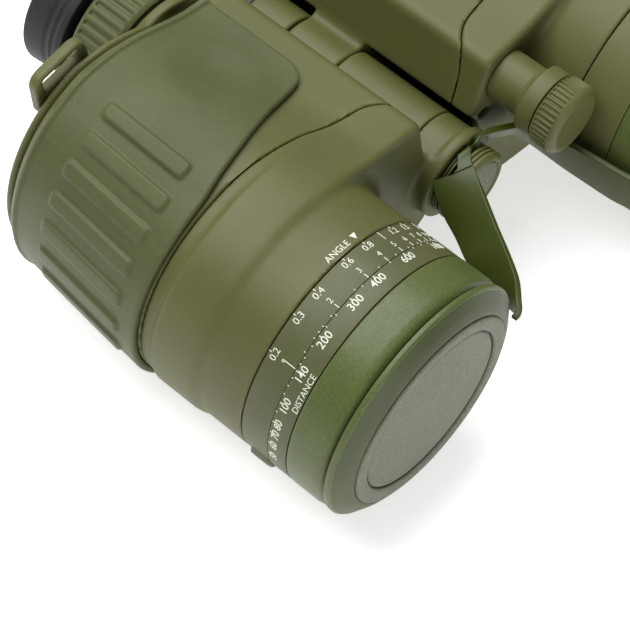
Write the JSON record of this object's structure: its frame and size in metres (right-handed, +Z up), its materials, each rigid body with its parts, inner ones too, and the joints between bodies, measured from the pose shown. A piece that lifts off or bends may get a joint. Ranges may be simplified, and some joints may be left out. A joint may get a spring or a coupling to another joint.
{
  "type": "binocular",
  "caption": "Folding Porro-prism binocular with a rotating angle and distance ring on one barrel, rubber armour and tethered lens caps.",
  "frame": {"origin": "middle of the binocular's box, on the surface that it lies on", "axes": "+X towards the barrel with the calculator rings, +Y along the light path towards the view, +Z up from the surface"},
  "size_m": [0.2042, 0.1526, 0.0756],
  "materials": {
    "housing": "matt olive coating",
    "armour": "fine matt rubber",
    "rim_rubber": "satin rubber",
    "ring_plastic": "matt olive coating with white print",
    "cap_plastic": "grained moulding",
    "tether_rubber": "smooth moulded rubber",
    "eyecup_rubber": "matt black rubber",
    "blackened": "matt black anodised",
    "steel": "brushed",
    "glass": "coated optical glass"
  },
  "bodies": {
    "right_half": {"right_body_shell": "housing", "right_objective_housing": "housing", "right_armour_pad": "armour", "right_rear_cover": "housing", "right_strap_lug": "housing", "right_prism_shelf": "blackened", "right_rear_prism": "glass", "right_front_prism": "glass", "right_rear_prism_clip": "steel", "right_front_prism_clip": "steel", "right_objective_cell": "blackened", "right_objective_lens": "glass", "right_lens_retainer": "blackened", "right_rim": "rim_rubber", "right_cap_tether": "tether_rubber", "right_eyepiece_base": "blackened", "distance_ring": "ring_plastic", "range_reticle": "glass", "hinge_shaft": "steel", "hinge_flange": "housing", "hinge_nut": "blackened"},
    "left_half": {"left_body_shell": "housing", "left_objective_housing": "housing", "left_armour_pad": "armour", "left_rear_cover": "housing", "left_strap_lug": "housing", "left_prism_shelf": "blackened", "left_rear_prism": "glass", "left_front_prism": "glass", "left_rear_prism_clip": "steel", "left_front_prism_clip": "steel", "left_objective_cell": "blackened", "left_objective_lens": "glass", "left_lens_retainer": "blackened", "left_rim": "rim_rubber", "left_cap_tether": "tether_rubber", "left_eyepiece_base": "blackened", "left_lamp_housing": "housing", "left_lamp_cell": "steel", "left_spacer_ring": "housing"},
    "angle_ring": {"angle_ring": "ring_plastic"},
    "tripod_seal": {"tripod_seal": "eyecup_rubber"},
    "tripod_cap": {"tripod_cap": "housing"},
    "left_lamp_cap": {"left_lamp_cap": "housing"},
    "right_lens_cap": {"right_lens_cap": "cap_plastic"},
    "right_focus_ring": {"right_focus_ring": "armour"},
    "right_ocular": {"right_ocular_barrel": "blackened", "right_eyepiece_lens": "glass", "right_field_lens": "glass", "right_eyecup": "eyecup_rubber"},
    "left_lens_cap": {"left_lens_cap": "cap_plastic"},
    "left_focus_ring": {"left_focus_ring": "armour"},
    "left_ocular": {"left_ocular_barrel": "blackened", "left_eyepiece_lens": "glass", "left_field_lens": "glass", "left_eyecup": "eyecup_rubber"}
  },
  "joints": [
    {"name": "interpupillary_fold", "type": "hinge", "parent": "right_half", "child": "left_half", "pos_m": [0, 0, 0.0318], "axis": [0, 1, 0], "range_deg": [0, 40], "deforming": ["left_cap_tether", "right_cap_tether"]},
    {"name": "angle_ring_turn", "type": "hinge", "parent": "right_half", "child": "angle_ring", "pos_m": [0.0643, 0.04775, 0.035], "axis": [0, 1, 0], "continuous": true},
    {"name": "tripod_cap_travel", "type": "slide", "parent": "right_half", "child": "tripod_seal", "axis": [0, 1, 0], "range_m": [0, 0.0038]},
    {"name": "tripod_cap_turn", "type": "hinge", "parent": "tripod_seal", "child": "tripod_cap", "pos_m": [0, 0.03505, 0.0318], "axis": [0, 1, 0], "range_deg": [0, 1080]},
    {"name": "lamp_cap_turn", "type": "hinge", "parent": "left_half", "child": "left_lamp_cap", "pos_m": [-0.0214, 0.04375, 0.0519], "axis": [0, 1, 0], "range_deg": [0, 90]},
    {"name": "right_cap_pull", "type": "slide", "parent": "right_half", "child": "right_lens_cap", "axis": [0, 1, 0], "range_m": [0, 0.015]},
    {"name": "right_focus_turn", "type": "hinge", "parent": "right_half", "child": "right_focus_ring", "pos_m": [0.035, -0.05325, 0.046], "axis": [0, 1, 0], "range_deg": [-120, 120]},
    {"name": "right_focus_travel", "type": "slide", "parent": "right_half", "child": "right_ocular", "axis": [0, 1, 0], "range_m": [-0.0019, 0.0019]},
    {"name": "left_cap_pull", "type": "slide", "parent": "left_half", "child": "left_lens_cap", "axis": [0, 1, 0], "range_m": [0, 0.015]},
    {"name": "left_focus_turn", "type": "hinge", "parent": "left_half", "child": "left_focus_ring", "pos_m": [-0.035, -0.05325, 0.046], "axis": [0, 1, 0], "range_deg": [-120, 120]},
    {"name": "left_focus_travel", "type": "slide", "parent": "left_half", "child": "left_ocular", "axis": [0, 1, 0], "range_m": [-0.0019, 0.0019]}
  ],
  "couplings": [
    {"joint": "tripod_cap_turn", "follows": "tripod_cap_travel", "rad_per_m": 4947.4},
    {"joint": "right_focus_turn", "follows": "right_focus_travel", "rad_per_m": 1102.3},
    {"joint": "left_focus_turn", "follows": "left_focus_travel", "rad_per_m": -1102.3}
  ]
}
